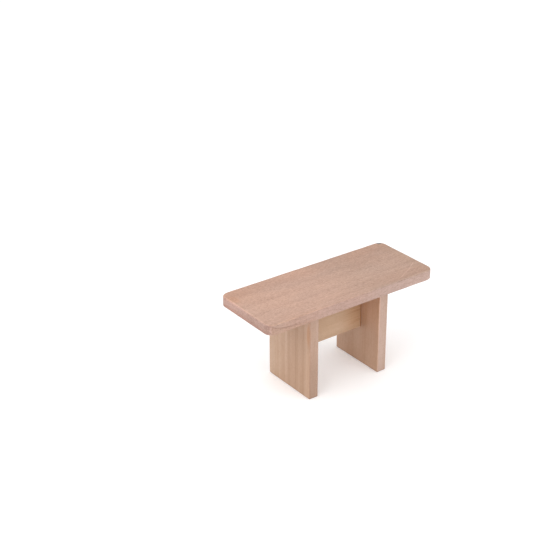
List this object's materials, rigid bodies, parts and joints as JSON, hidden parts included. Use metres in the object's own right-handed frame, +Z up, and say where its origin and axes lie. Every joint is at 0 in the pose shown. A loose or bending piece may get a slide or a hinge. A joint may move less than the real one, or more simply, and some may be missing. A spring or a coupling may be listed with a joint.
{
  "type": "dolls house dining table",
  "caption": "Small plain wooden dining table for a dolls house: a rounded-corner plank top on two upright board legs, tied by a central stretcher board under the top.",
  "frame": {"origin": "on the ground under the middle of the table", "axes": "+X along the length of the top towards its right end, +Y across the top towards the far side, +Z up"},
  "size_m": [0.12, 0.048, 0.06],
  "materials": {
    "top_wood": "sanded pale beech, very thin satin clear coat, grain along the length, end grain at both ends",
    "leg_wood": "sanded pale wood, very thin satin clear coat, grain upright",
    "stretcher_wood": "sanded pale wood, slightly yellower, grain along the board",
    "dowel_wood": "raw fluted hardwood dowel, grain along its length"
  },
  "bodies": {
    "root": {"table_top": "top_wood", "left_leg_board": "leg_wood", "right_leg_board": "leg_wood", "stretcher_board": "stretcher_wood", "left_leg_dowel_near": "dowel_wood", "left_leg_dowel_far": "dowel_wood", "right_leg_dowel_near": "dowel_wood", "right_leg_dowel_far": "dowel_wood", "left_stretcher_dowel_lower": "dowel_wood", "left_stretcher_dowel_upper": "dowel_wood", "right_stretcher_dowel_lower": "dowel_wood", "right_stretcher_dowel_upper": "dowel_wood"}
  },
  "joints": []
}
